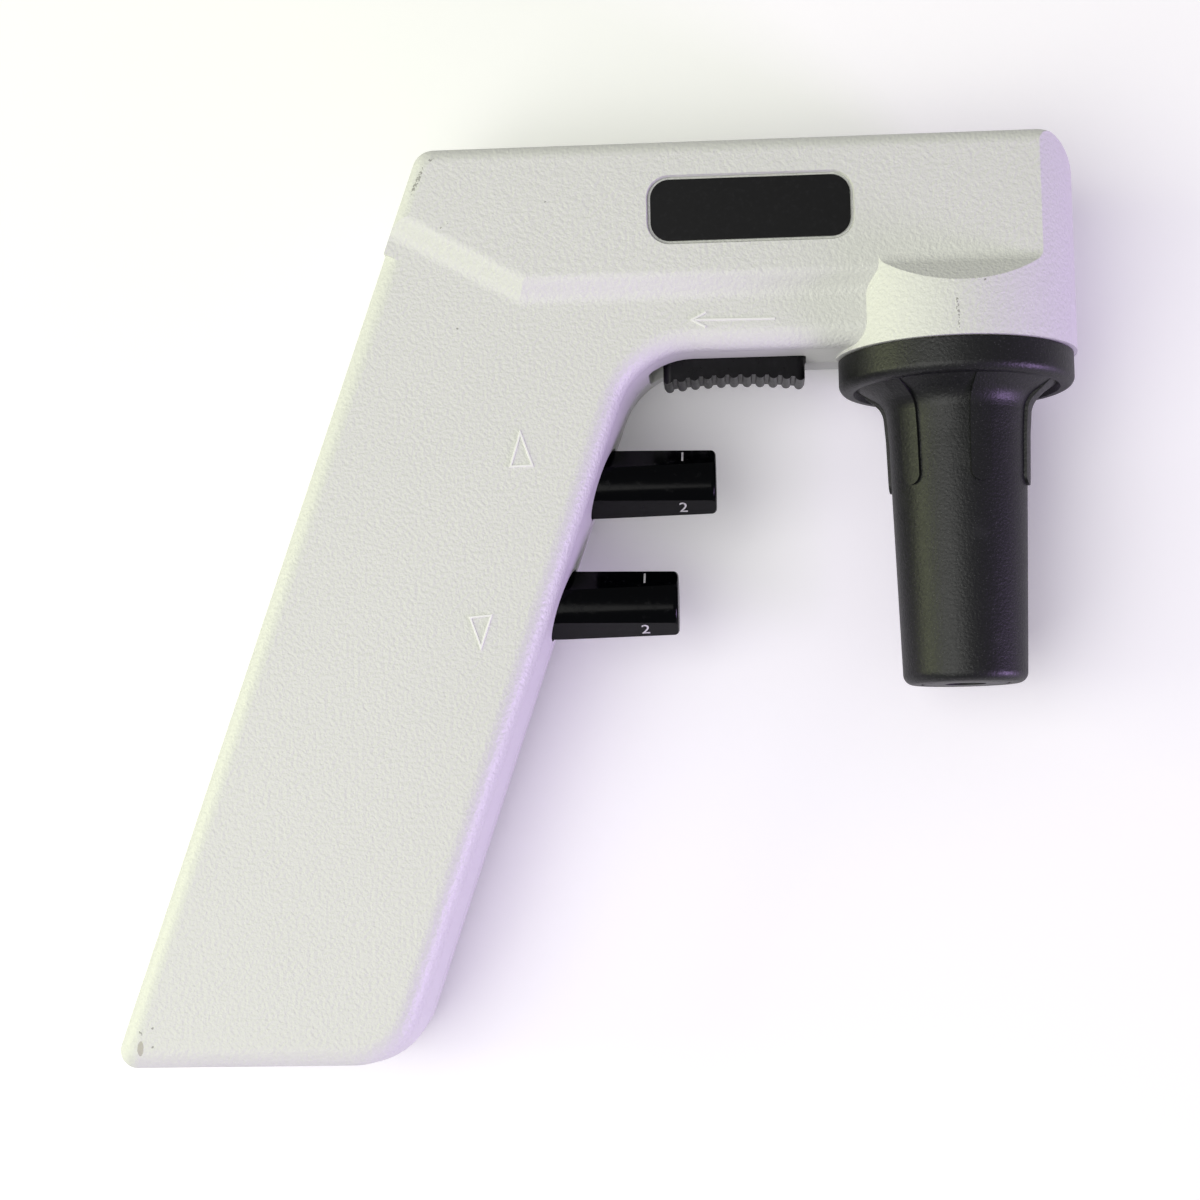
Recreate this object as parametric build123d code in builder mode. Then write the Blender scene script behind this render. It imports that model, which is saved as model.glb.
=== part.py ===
from build123d import *
from math import cos, pi, radians, sin, tan
import os

os.makedirs("parts", exist_ok=True)

# A battery-powered pipette controller, lying on its side as it is put down on a bench.
# X runs forward along the barrel, Y towards the barrel's top, Z up from the bench.
# The origin is the centre of the pipette socket's mouth, on the nose axis.

# Housing
wall = 2.4
draft = 3.6
grip_lean = 19.0
inner_corner_x = -60.3
underside_y = 62.8
bottom_y = -69.6
top_y = 103.8
step_height = 2.4
boss_radius = 23.1
front_spare = 0.1
shelf_top = 78.2
shelf_low = 72.9
step_x = -82.5
step_y = 73.4
step_run = 3.4
step_climb = 29.3
bottom_rear_radius = 4.0
bottom_front_radius = 13.5
inner_corner_radius = 14.0
top_front_radius = 8.5
top_rear_radius = 5.0
grip_edge_radius = 3.9
slab_edge_radius = 3.0
step_depth = 4.0
step_foot_radius = 4.0
step_brow_radius = 3.0
parting_groove = 0.15
shelf_foot_radius = 3.0
post_radius = 3.3
rib_width = 1.6
motor_rib_half = 7.2

# Label
label_x = -38.8
label_y = 89.2
label_length = 37.4
label_height = 11.7
label_corner = 3.6
label_thickness = 0.5
recess_depth = 0.9
recess_margin = 0.75
recess_draft = 20.0

# Buttons and what they work
button_y = (40.0, 16.75)
button_end_x = (-46.4, -54.1)
button_out = 22.0
button_in = 12.6
button_base_radius = 6.55
button_end_radius = 6.1
button_rounding = 1.0
flat_depth = 5.6
flat_angle = -53.0
button_hole_gap = 0.35
press_travel = 4.5
sleeve_front = 28.6
sleeve_length = 16.0
sleeve_floor = 3.0
sleeve_radius = 9.5
sleeve_gap = 0.3
drive_gap = 0.12
bearing_gap = 0.06
cup_wall = 1.8
stem_radius = 2.5
stem_gap = 0.05
block_length = 8.2
block_half = 10.0
spring_radius = 4.4
spring_wire = 0.35
spring_turns = 3
seal_section = 0.5
seal_shares = (0.28, 0.72)
stem_tip_rounding = 2.4
lever_arm = 9.4
lever_overhang = 3.0
lever_thickness = 0.4
lever_width = 3.6
lever_rest_angle = 26.5
lever_gap = 0.35
lever_back_gap = 0.2
switch_length = 12.8
switch_depth = 6.4
switch_half = 3.2
switch_drop = 0.8
pivot_radius = 0.5

# Mode slider
slider_rear = -56.1
slider_front = -29.0
slider_half = 5.0
slider_tip_y = 59.0
slider_arch = 0.9
slider_corner = 1.5
slider_travel = 2.5
slider_gap = 0.3
slot_corner = 1.0
slider_ribs = 11
slider_rib_radius = 0.95
keeper_half = 7.5
keeper_thickness = 1.2
keeper_reach = 1.6
vent_height = 6.5
vent_half = 7.0
spool_radius = 1.8
spool_gap = 0.05

# Nose
flange_inset = 0.7
flange_wall = 6.2
flange_edge = 1.8
rim_width = 2.7
dish_depth = 1.0
dish_run = 0.7
mating_gap = 0.3
nose_tip_radius = 11.7
nose_root_radius = 13.15
nose_root_y = 47.0
flare_y = 53.6
flare_rounding = 4.5
nose_tip_rounding = 2.0
nose_wall = 2.2
mouth_radius = 8.4
mouth_lip = 2.2
grip_ribs = 6
grip_rib_width = 4.0
grip_rib_height = 0.6
grip_rib_foot_y = 37.2
grip_rib_angle = 13.0
spigot_inset = 4.4
spigot_wall = 2.9
spigot_length = 8.4

# Pipette holder and filter
socket_bore = 3.9
socket_depth = 15.0
socket_neck = 2.2
holder_gap = 0.35
holder_top_y = 50.5
filter_gap = 0.5
filter_rim = 1.6
filter_y = 57.0
filter_stem_radius = 2.15

# Nose socket ring
ring_skirt_gap = 0.2
ring_wall = 2.0
ring_flange = 1.8
ring_flange_height = 2.6
ring_top_y = 78.0
ring_roof = 3.0
nozzle_bore = 1.2

# Pump and motor
motor_x = -66.0
motor_y = 87.2
motor_radius = 12.0
motor_length = 30.0
shaft_radius = 1.0
crank_throw = 0.8
crank_pin_radius = 1.4
crank_disc_radius = 4.0
running_gap = 0.3
frame_length = 17.0
frame_half = 9.5
frame_wall = 1.6
frame_top = 95.0
diaphragm_y = 77.4
diaphragm_thickness = 1.0
diaphragm_radius = 6.8
head_height = 8.0
barb_radius = 1.3
barb_length = 5.0
barb_bore = 0.7
barb_fit = 0.05
port_spacing = 8.0
tube_radius = 2.1
tube_bend = 3.0
tube_end_gap = 0.3
tube_lines = (7.2, 2.4, -2.4)
tube_turn_y = 60.0
nose_tube_y = (88.0, 97.9)
nose_tube_x = (-20.0, -30.0, -88.0)
nose_tube_z = 10.2

# Cells, jack and board
cell_radius = 11.25
cell_length = 43.0
cell_low = -52.0
cell_gap = 0.5
cell_room = 1.35
strap_thickness = 0.4
jack_x = -140.0
jack_radius = 4.6
jack_length = 15.0
jack_bore = 1.8
jack_bore_depth = 12.0
board_centre = (-88.6, 61.8)
board_length = 28.0
board_width = 13.0
board_thickness = 1.6
board_z = -8.6

# Housing screws
screw_points = (
    (-152.0, -61.0),
    (-114.0, -57.5),
    (-121.0, 24.4),
    (-71.2, 57.6),
    (-98.0, 95.6),
    (-15.0, 96.0),
)
screw_radius = 1.25
screw_head_radius = 2.6
screw_head_height = 1.7
screw_seat_z = -9.0
screw_length = 18.0
screw_hole_gap = 0.25
thread_gap = 0.05
screw_tip_room = 1.0

# Smaller sizes of the inner pieces
cup_gap = 0.4
barb_stub = 1.6
draft_rise = 0.6
slider_rib_sink = 0.3
lug_length = 5.0
lug_width = 3.0
lug_height = 5.4
spool_length = 8.5
flare_step = 0.45
filter_step = 2.2
filter_stem = 6.0
neck_run = 8.0
membrane_room = 0.5
membrane_seat = 1.0
nozzle_wall = 3.4
nozzle_base = 1.5
nozzle_foot_radius = 4.4
ring_draw = 0.6
socket_flat = 12.0
nose_seal_radius = 0.8
motor_cap_length = 3.0
motor_edge = 0.8
terminal_thickness = 0.5
terminal_width = 2.4
terminal_length = 2.6
terminal_shares = (0.15, 0.5, 0.85)
disc_half = 3.0
disc_thickness = 1.6
rod_thickness = 2.4
rod_wall = 1.4
rod_width = 3.0
rod_foot = 1.2
rod_foot_radius = 3.4
frame_corner = 2.0
frame_floor = 2.0
plate_thickness = 1.0
reed_width = 3.0
reed_length = 7.0
reed_thickness = 0.2
cell_edge = 0.8
cell_button_radius = 3.6
cell_button_height = 0.9
strap_width = 6.0
jack_body = 4.2
chip_places = ((-8.0, 0.0, 6.0, 5.0), (3.0, 1.5, 8.0, 4.0), (11.5, -1.0, 3.0, 6.0))
chip_height = 1.4

body_half = cell_radius + cell_room + wall
barrel_half = body_half + step_height
grip_depth = 4 * cell_radius + cell_gap + 2 * (cell_room + wall)
cell_top = cell_low + cell_length
flange_radius = boss_radius - flange_inset
spigot_radius = boss_radius - wall - spigot_inset
filter_space = spigot_radius - spigot_wall
filter_radius = filter_space - filter_gap
cell_spacing = 2 * cell_radius + cell_gap
lean_run = tan(radians(grip_lean))


def front_x(y):
    """The grip's front line on the parting plane."""
    return inner_corner_x + (y - underside_y) * lean_run


def rear_x(y):
    """The grip's rear line on the parting plane."""
    return front_x(y) - grip_depth / cos(radians(grip_lean))


reach = top_y - bottom_y
toe_rear = (rear_x(bottom_y), bottom_y)
toe_front = (front_x(bottom_y), bottom_y)
inner_corner = (inner_corner_x, underside_y)
front_low = (boss_radius + front_spare, underside_y)
front_high = (boss_radius + front_spare, top_y)
crown_rear = (rear_x(top_y), top_y)
corner_radii = (
    (toe_rear, bottom_rear_radius),
    (toe_front, bottom_front_radius),
    (inner_corner, inner_corner_radius),
    (front_high, top_front_radius),
    (crown_rear, top_rear_radius),
)
plan_spare = 1.0


def level(y):
    """A plane square to the nose axis, with its own y towards -Z."""
    return Plane(origin=(0, y, 0), x_dir=(1, 0, 0), z_dir=(0, 1, 0))


def station(x, y):
    """A plane square to a button's axis, with x along Y and y along Z."""
    return Plane(origin=(x, y, 0), x_dir=(0, 1, 0), z_dir=(1, 0, 0))


def button_axis(y):
    return Axis((0, y, 0), (1, 0, 0))


grip_plane = Plane(
    origin=((front_x(0) + rear_x(0)) / 2, 0, 0),
    x_dir=(cos(radians(grip_lean)), -sin(radians(grip_lean)), 0),
    z_dir=(0, 0, 1),
)


def side_face(inset):
    """The housing's outline on the parting plane, brought in by inset."""
    with BuildSketch() as outline:
        with BuildLine():
            Polyline(toe_rear, toe_front, inner_corner, front_low, front_high, crown_rear, close=True)
        make_face()
        for corner, radius in corner_radii:
            fillet(outline.vertices().sort_by_distance(corner)[0], radius)
        if inset:
            offset(amount=-inset)
    return outline.sketch


def step_section(inset):
    """The barrel's thicker slab, cut square across its step, with x going up from the step's foot."""
    with BuildSketch() as section:
        with BuildLine():
            Polyline(
                (-step_depth, 0),
                (-step_depth, body_half),
                (0, body_half),
                (step_run, barrel_half),
                (reach, barrel_half),
                (reach, 0),
                close=True,
            )
        make_face()
        fillet(section.vertices().sort_by_distance((0, body_half))[0], step_foot_radius)
        fillet(section.vertices().sort_by_distance((step_run, barrel_half))[0], step_brow_radius)
        if inset:
            offset(amount=-inset)
    return section.sketch


def shelf_section(inset):
    """The boss seen from the side, with x up the nose axis: its round side, then the sloping shelf."""
    with BuildSketch() as section:
        with BuildLine():
            Polyline(
                (underside_y, 0),
                (underside_y, boss_radius),
                (shelf_low, boss_radius),
                (shelf_top, barrel_half),
                (shelf_top + shelf_foot_radius, barrel_half),
                (shelf_top + shelf_foot_radius, 0),
                close=True,
            )
        make_face()
        fillet(section.vertices().sort_by_distance((shelf_top, barrel_half))[0], shelf_foot_radius)
        if inset:
            offset(amount=-inset)
    return section.sketch


def housing_form(inset):
    """Half of the housing's form above the parting plane, brought in by inset all over."""
    with BuildPart() as plan:
        with BuildSketch(level(bottom_y - plan_spare)):
            Circle(boss_radius - inset)
            with Locations((toe_rear[0], 0)):
                Rectangle(-2 * toe_rear[0], 4 * barrel_half)
        extrude(amount=reach + 2 * plan_spare)
    with BuildPart() as slab:
        with BuildSketch():
            add(side_face(inset))
        extrude(amount=barrel_half - inset, taper=draft)
        if not inset:
            fillet(slab.faces().sort_by(Axis.Z)[-1].edges(), slab_edge_radius)
        for climb in (0, radians(step_climb)):
            across = Plane(
                origin=(step_x - reach * cos(climb), step_y + reach * sin(climb), 0),
                x_dir=(sin(climb), cos(climb), 0),
                z_dir=(cos(climb), -sin(climb), 0),
            )
            with BuildSketch(across):
                add(step_section(inset))
            extrude(amount=2 * reach, mode=Mode.INTERSECT)
        add(plan.part, mode=Mode.INTERSECT)
    with BuildPart() as grip:
        with BuildSketch():
            add(side_face(inset))
        extrude(amount=body_half - inset, taper=draft)
        if not inset:
            fillet(grip.faces().sort_by(Axis.Z)[-1].edges(), grip_edge_radius)
        add(plan.part, mode=Mode.INTERSECT)
    with BuildPart() as boss:
        with BuildSketch(level(underside_y)):
            Circle(boss_radius - inset)
        extrude(amount=shelf_top + shelf_foot_radius - underside_y)
        with BuildSketch(station(-boss_radius, 0)):
            add(shelf_section(inset))
        extrude(amount=2 * boss_radius, mode=Mode.INTERSECT)
    with BuildPart() as form:
        add(boss.part)
        add(grip.part)
        add(slab.part)
        if not inset:
            with BuildSketch():
                Rectangle(4 * reach, 4 * reach)
                add(side_face(parting_groove), mode=Mode.SUBTRACT)
            extrude(amount=parting_groove, mode=Mode.SUBTRACT)
    return form.part


outer_half = housing_form(0)
cavity_half = housing_form(wall)
rib_half = housing_form(wall / 2)


def cut_openings():
    """Everything that passes through the shells, as one solid to take away."""
    with BuildPart() as cutter:
        with BuildSketch(level(underside_y - plan_spare)):
            Circle(spigot_radius + mating_gap + ring_wall + ring_skirt_gap)
        extrude(amount=wall + 2 * plan_spare)
        for y, end_x in zip(button_y, button_end_x):
            with BuildSketch(station(end_x, y)):
                Circle(button_base_radius + button_hole_gap)
            extrude(amount=-sleeve_front - wall)
        slot_rear = slider_rear - slider_travel - slider_gap
        slot_front = slider_front + slider_gap
        with BuildSketch(level(slider_tip_y)):
            with Locations(((slot_rear + slot_front) / 2, 0)):
                RectangleRounded(slot_front - slot_rear, 2 * (slider_half + slider_gap), slot_corner)
        extrude(amount=underside_y + wall + plan_spare - slider_tip_y)
        with BuildSketch(level(bottom_y - plan_spare)):
            with Locations((jack_x, 0)):
                Circle(jack_radius)
        extrude(amount=wall + 2 * plan_spare)
    return cutter.part


openings = cut_openings()


def cell_seat(across):
    """A plane across the top of a cell, facing down the grip."""
    return Plane(
        origin=grip_plane.from_local_coords((across, cell_top, 0)),
        x_dir=grip_plane.x_dir,
        z_dir=-grip_plane.y_dir,
    )


def shell_blank():
    """One half of the clamshell from the parting plane up: wall, cradle ribs and screw posts."""
    with BuildPart() as ribs:
        with BuildSketch(grip_plane):
            for along in (cell_top - cell_length / 4, cell_top - 3 * cell_length / 4):
                with Locations((0, along)):
                    Rectangle(grip_depth, rib_width)
        extrude(amount=barrel_half)
        with BuildSketch():
            for share in (0.25, 0.75):
                with Locations((motor_x + share * motor_length, motor_y)):
                    Rectangle(rib_width, 2 * motor_rib_half)
        extrude(amount=barrel_half)
        add(rib_half, mode=Mode.INTERSECT)
        for across in (-cell_spacing / 2, cell_spacing / 2):
            with BuildSketch(cell_seat(across)):
                Circle(cell_radius)
            extrude(amount=cell_length, mode=Mode.SUBTRACT)
        with BuildSketch(station(motor_x, motor_y)):
            Circle(motor_radius)
        extrude(amount=motor_length, mode=Mode.SUBTRACT)
    with BuildPart() as posts:
        with BuildSketch():
            with Locations(*screw_points):
                Circle(post_radius)
        extrude(amount=barrel_half)
        add(rib_half, mode=Mode.INTERSECT)
    with BuildPart() as blank:
        add(outer_half)
        add(cavity_half, mode=Mode.SUBTRACT)
        add(ribs.part)
        add(posts.part)
    return blank.part


shell_half = shell_blank()

with BuildPart() as right_shell:
    add(shell_half)
    with BuildSketch():
        with Locations(*screw_points):
            Circle(screw_radius + thread_gap)
    extrude(amount=screw_length + screw_seat_z + screw_tip_room, mode=Mode.SUBTRACT)
    add(openings, mode=Mode.SUBTRACT)
    with BuildSketch(Plane.XY.offset(barrel_half)):
        with Locations((label_x, label_y)):
            RectangleRounded(
                label_length + 2 * recess_margin, label_height + 2 * recess_margin, label_corner + recess_margin
            )
    extrude(amount=-recess_depth, taper=recess_draft, mode=Mode.SUBTRACT)
right_shell.part.label = "right_shell"

with BuildPart() as left_shell:
    add(mirror(shell_half, about=Plane.XY))
    with BuildSketch():
        with Locations(*screw_points):
            Circle(screw_radius + screw_hole_gap)
    extrude(amount=screw_seat_z, mode=Mode.SUBTRACT)
    with BuildSketch(Plane.XY.offset(screw_seat_z)):
        with Locations(*screw_points):
            Circle(screw_head_radius + screw_hole_gap)
    extrude(amount=-barrel_half, mode=Mode.SUBTRACT)
    add(openings, mode=Mode.SUBTRACT)
left_shell.part.label = "left_shell"

with BuildPart() as housing_screws:
    for x, y in screw_points:
        with BuildSketch(Plane.XY.offset(screw_seat_z)):
            with Locations((x, y)):
                Circle(screw_head_radius)
        extrude(amount=-screw_head_height)
        with BuildSketch(Plane.XY.offset(screw_seat_z)):
            with Locations((x, y)):
                Circle(screw_radius)
        extrude(amount=screw_length)
housing_screws.part.label = "housing_screws"

with BuildPart() as label_plate:
    with BuildSketch(Plane.XY.offset(barrel_half - recess_depth)):
        with Locations((label_x, label_y)):
            RectangleRounded(label_length, label_height, label_corner)
    extrude(amount=label_thickness)
label_plate.part.label = "label_plate"

pieces = [right_shell.part, left_shell.part, housing_screws.part, label_plate.part]

# The two triggers: each is a button with its stem, turning in a selector sleeve
block_front = [end_x - sleeve_front - sleeve_length for end_x in button_end_x]
block_rear = [front - block_length for front in block_front]


def trigger_pieces(name, end_x, y):
    """A button, its stem, seals and spring, the sleeve it turns, and the switch it works."""
    inner_x = end_x - button_out - button_in
    sleeve_x = end_x - sleeve_front
    floor_x = sleeve_x - sleeve_length + sleeve_floor
    rear_x_of_block = sleeve_x - sleeve_length - block_length
    stem_end = rear_x_of_block - stem_radius
    with BuildPart() as button:
        with BuildSketch():
            with BuildLine():
                Polyline(
                    (end_x, y),
                    (end_x, y + button_end_radius),
                    (end_x - button_out, y + button_base_radius),
                    (inner_x, y + button_base_radius),
                    (inner_x, y),
                    close=True,
                )
            make_face()
        revolve(axis=button_axis(y))
        fillet(button.faces().sort_by(Axis.X)[-1].edges(), button_rounding)
        for turn in range(3):
            angle = radians(flat_angle + 120 * turn)
            facing = Plane(
                origin=(end_x, y + flat_depth * cos(angle + pi / 2), flat_depth * sin(angle + pi / 2)),
                x_dir=(1, 0, 0),
                z_dir=(0, cos(angle + pi / 2), sin(angle + pi / 2)),
            )
            split(bisect_by=facing, keep=Keep.BOTTOM)
    button.part.label = f"{name}_button"
    with BuildPart() as stem:
        with BuildSketch():
            with BuildLine():
                Polyline(
                    (inner_x, y),
                    (inner_x, y + stem_radius),
                    (stem_end, y + stem_radius),
                    (stem_end, y),
                    close=True,
                )
            make_face()
        revolve(axis=button_axis(y))
        fillet(stem.faces().sort_by(Axis.X)[0].edges(), stem_tip_rounding)
        for share in seal_shares:
            with BuildSketch():
                with Locations((rear_x_of_block + share * block_length, y + stem_radius)):
                    Rectangle(2 * seal_section, 4 * seal_section)
            revolve(axis=button_axis(y), mode=Mode.SUBTRACT)
    stem.part.label = f"{name}_stem"
    with BuildPart() as seals:
        for share in seal_shares:
            with BuildSketch():
                with Locations((rear_x_of_block + share * block_length, y + stem_radius - seal_section)):
                    Circle(seal_section)
            revolve(axis=button_axis(y))
    seals.part.label = f"{name}_stem_seals"
    with BuildPart() as sleeve:
        with BuildSketch(station(sleeve_x, y)):
            Circle(sleeve_radius)
        extrude(amount=-sleeve_length)
        with BuildSketch(station(sleeve_x, y)) as bore:
            Circle(button_base_radius + drive_gap)
            for turn in range(3):
                angle = flat_angle + 90 + 120 * turn
                with Locations(Rot(0, 0, angle) * Pos(flat_depth + drive_gap + button_base_radius, 0)):
                    Rectangle(2 * button_base_radius, 4 * button_base_radius, mode=Mode.SUBTRACT)
        extrude(amount=sleeve_floor - sleeve_length, mode=Mode.SUBTRACT)
        with BuildSketch(station(floor_x, y)):
            Circle(stem_radius + sleeve_gap)
        extrude(amount=-sleeve_floor, mode=Mode.SUBTRACT)
    sleeve.part.label = f"{name}_selector"
    with BuildPart() as spring:
        room = inner_x - floor_x
        coil = room - 2 * spring_wire
        with BuildLine() as wire:
            Helix(
                pitch=coil / spring_turns,
                height=coil,
                radius=spring_radius,
                center=(floor_x + spring_wire, y, 0),
                direction=(1, 0, 0),
            )
        with BuildSketch(Plane(origin=wire.line @ 0, z_dir=wire.line % 0)):
            Circle(spring_wire)
        sweep(is_frenet=True)
    spring.part.label = f"{name}_spring"
    lean = radians(lever_rest_angle)
    tip_reach = stem_radius * (1 / cos(lean) - 1)
    pivot_x = stem_end - lever_gap - tip_reach - lever_arm * tan(lean)
    pivot_y = y - lever_arm
    lever_plane = Plane(
        origin=(pivot_x, pivot_y, -lever_width / 2),
        x_dir=(sin(lean), cos(lean), 0),
        z_dir=(0, 0, 1),
    )
    with BuildPart() as lever:
        with BuildSketch(lever_plane):
            Rectangle(lever_arm + lever_overhang, lever_thickness, align=(Align.MIN, Align.MIN))
            Circle(pivot_radius)
        extrude(amount=lever_width)
    lever.part.label = f"{name}_lever"
    switch_front = pivot_x - lever_thickness - pivot_radius - lever_back_gap
    switch_low = pivot_y - switch_drop
    with BuildPart() as switch:
        with BuildSketch(Plane.XY.offset(-switch_half)):
            with Locations((switch_front, switch_low)):
                Rectangle(switch_depth, switch_length, align=(Align.MAX, Align.MIN))
        extrude(amount=2 * switch_half)
        for share in terminal_shares:
            with BuildSketch(station(switch_front - switch_depth, switch_low + share * switch_length)):
                Rectangle(terminal_thickness, terminal_width)
            extrude(amount=-terminal_length)
    switch.part.label = f"{name}_switch"
    return [button.part, stem.part, seals.part, sleeve.part, spring.part, lever.part, switch.part]


for name, end_x, y in zip(("aspirate", "dispense"), button_end_x, button_y):
    pieces += trigger_pieces(name, end_x, y)

# The valve block carries both selector sleeves in cups and both stems in sealed bores
block_top = button_y[0] + block_half
port_x = (block_front[0] - cup_gap + block_rear[0]) / 2
with BuildPart() as valve_block:
    for front, end_x, y in zip(block_front, button_end_x, button_y):
        with BuildSketch(station(front + sleeve_length, y)):
            Circle(sleeve_radius + bearing_gap + cup_wall)
        extrude(amount=-sleeve_length - block_length)
    with BuildSketch(Plane.XY.offset(-block_half)):
        with BuildLine():
            Polyline(
                (block_front[0] - cup_gap, button_y[0] + block_half),
                (block_rear[0], button_y[0] + block_half),
                (block_rear[1], button_y[1] - block_half),
                (block_front[1] - cup_gap, button_y[1] - block_half),
                close=True,
            )
        make_face()
    extrude(amount=2 * block_half)
    for front, y in zip(block_front, button_y):
        with BuildSketch(station(front + sleeve_length, y)):
            Circle(sleeve_radius + bearing_gap)
        extrude(amount=-sleeve_length - cup_gap, mode=Mode.SUBTRACT)
        with BuildSketch(station(front + sleeve_length, y)):
            Circle(stem_radius + stem_gap)
        extrude(amount=-sleeve_length - 2 * block_length, mode=Mode.SUBTRACT)
    for height in tube_lines:
        with BuildSketch(level(block_top)):
            with Locations((port_x, -height)):
                Circle(barb_radius)
        extrude(amount=barb_stub + barb_length)
        with BuildSketch(level(block_top + barb_stub + barb_length)):
            with Locations((port_x, -height)):
                Circle(barb_bore)
        extrude(amount=-barb_length, mode=Mode.SUBTRACT)
valve_block.part.label = "valve_block"

# The mode slider: a ribbed thumb pad through the slot, a keeper plate above it and the vent valve
slider_mid = (slider_rear + slider_front) / 2
pad_top = underside_y + wall + 2 * slider_gap + draft_rise
rib_pitch = (slider_front - slider_rear - 2 * slider_rib_radius) / (slider_ribs - 1)
with BuildPart() as mode_slider:
    with BuildSketch(Plane.XY.offset(-slider_half)):
        with BuildLine():
            arch = ThreePointArc(
                (slider_rear, slider_tip_y),
                (slider_mid, slider_tip_y + slider_arch),
                (slider_front, slider_tip_y),
            )
            Polyline(arch @ 1, (slider_front, pad_top), (slider_rear, pad_top), arch @ 0)
        make_face()
        for count in range(slider_ribs):
            along = slider_rib_radius + rib_pitch * count
            share = along / (slider_front - slider_rear)
            with Locations(arch @ share + Vector(0, slider_rib_sink)):
                Circle(slider_rib_radius)
    extrude(amount=2 * slider_half)
    with BuildSketch(level(slider_tip_y - slider_rib_radius)):
        with Locations((slider_mid, 0)):
            RectangleRounded(slider_front - slider_rear, 2 * slider_half, slider_corner)
    extrude(amount=pad_top - slider_tip_y + slider_rib_radius, mode=Mode.INTERSECT)
    with BuildSketch(level(pad_top)):
        with Locations((slider_mid, 0)):
            Rectangle(slider_front - slider_rear + 2 * keeper_reach, 2 * keeper_half)
    extrude(amount=keeper_thickness)
    with BuildSketch(level(pad_top + keeper_thickness)):
        with Locations((slider_mid, 0)):
            Rectangle(lug_length, lug_width)
    extrude(amount=lug_height)
mode_slider.part.label = "mode_slider"

vent_low = pad_top + keeper_thickness + slider_gap
vent_axis = vent_low + vent_height / 2
with BuildPart() as vent_valve:
    with BuildSketch(level(vent_low)):
        with Locations((slider_mid, 0)):
            Rectangle(slider_front - slider_rear + 2 * keeper_reach, 2 * vent_half)
            slot_length = lug_length + slider_travel + 2 * slider_gap
            with Locations((-slider_travel / 2, 0)):
                Rectangle(slot_length, lug_width + 2 * slider_gap, mode=Mode.SUBTRACT)
    extrude(amount=vent_height)
    with BuildSketch(station(slider_front + keeper_reach, vent_axis)):
        Circle(spool_radius + spool_gap)
    extrude(amount=-(slider_front - slider_rear) - 2 * keeper_reach, mode=Mode.SUBTRACT)
vent_valve.part.label = "vent_valve"

with BuildPart() as vent_spool:
    with BuildSketch(station(slider_mid + lug_length / 2, vent_axis)):
        Circle(spool_radius)
    extrude(amount=spool_length)
    with BuildSketch(station(slider_mid - lug_length / 2, vent_axis)):
        Circle(spool_radius)
    extrude(amount=-spool_length)
    for side in (-1, 1):
        with BuildSketch():
            seal_x = slider_mid + side * (lug_length / 2 + spool_length * seal_shares[1])
            with Locations((seal_x, vent_axis + spool_radius)):
                Rectangle(2 * seal_section, 4 * seal_section)
        revolve(axis=button_axis(vent_axis), mode=Mode.SUBTRACT)
vent_spool.part.label = "vent_spool"

with BuildPart() as spool_seals:
    for side in (-1, 1):
        with BuildSketch():
            seal_x = slider_mid + side * (lug_length / 2 + spool_length * seal_shares[1])
            with Locations((seal_x, vent_axis + spool_radius - seal_section)):
                Circle(seal_section)
        revolve(axis=button_axis(vent_axis))
spool_seals.part.label = "spool_seals"
pieces += [valve_block.part, mode_slider.part, vent_valve.part, vent_spool.part, spool_seals.part]

# The nose cone, the silicone pipette holder and the filter inside it
flange_top = underside_y - mating_gap
flange_low = flange_top - flange_wall
spigot_top = flange_top + spigot_length
filter_floor = filter_y - filter_rim - 2 * mating_gap
dish_radius = flange_radius - rim_width - dish_run
rib_top = (nose_root_radius + flare_step, flare_y)


def nose_profile(proud):
    """The nose cone's side below its flange, standing proud of the plain cone by that much."""
    with BuildSketch() as profile:
        with BuildLine():
            Polyline(
                (0, 0),
                (nose_tip_radius + proud, 0),
                (nose_root_radius + proud, nose_root_y),
                (rib_top[0] + proud, rib_top[1] - proud),
                (dish_radius, flange_low + dish_depth),
                (flange_radius - rim_width, flange_low),
                (flange_radius - rim_width, flange_top),
                (0, flange_top),
                close=True,
            )
        make_face()
        fillet(profile.vertices().sort_by_distance((nose_tip_radius + proud, 0))[0], nose_tip_rounding)
        fillet(profile.vertices().sort_by_distance((rib_top[0] + proud, rib_top[1] - proud))[0], flare_rounding)
    return profile.sketch


with BuildPart() as nose_ribs:
    for count in range(grip_ribs):
        facing = Rot(0, grip_rib_angle + count * 360 / grip_ribs, 0) * Plane.XY
        with BuildSketch(facing):
            with Locations((0, grip_rib_foot_y + grip_rib_width / 2)):
                Rectangle(grip_rib_width, flange_low - grip_rib_foot_y, align=(Align.CENTER, Align.MIN))
                Circle(grip_rib_width / 2)
        extrude(amount=flange_radius)
    with BuildSketch():
        add(nose_profile(grip_rib_height))
    revolve(axis=Axis.Y, mode=Mode.INTERSECT)

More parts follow.
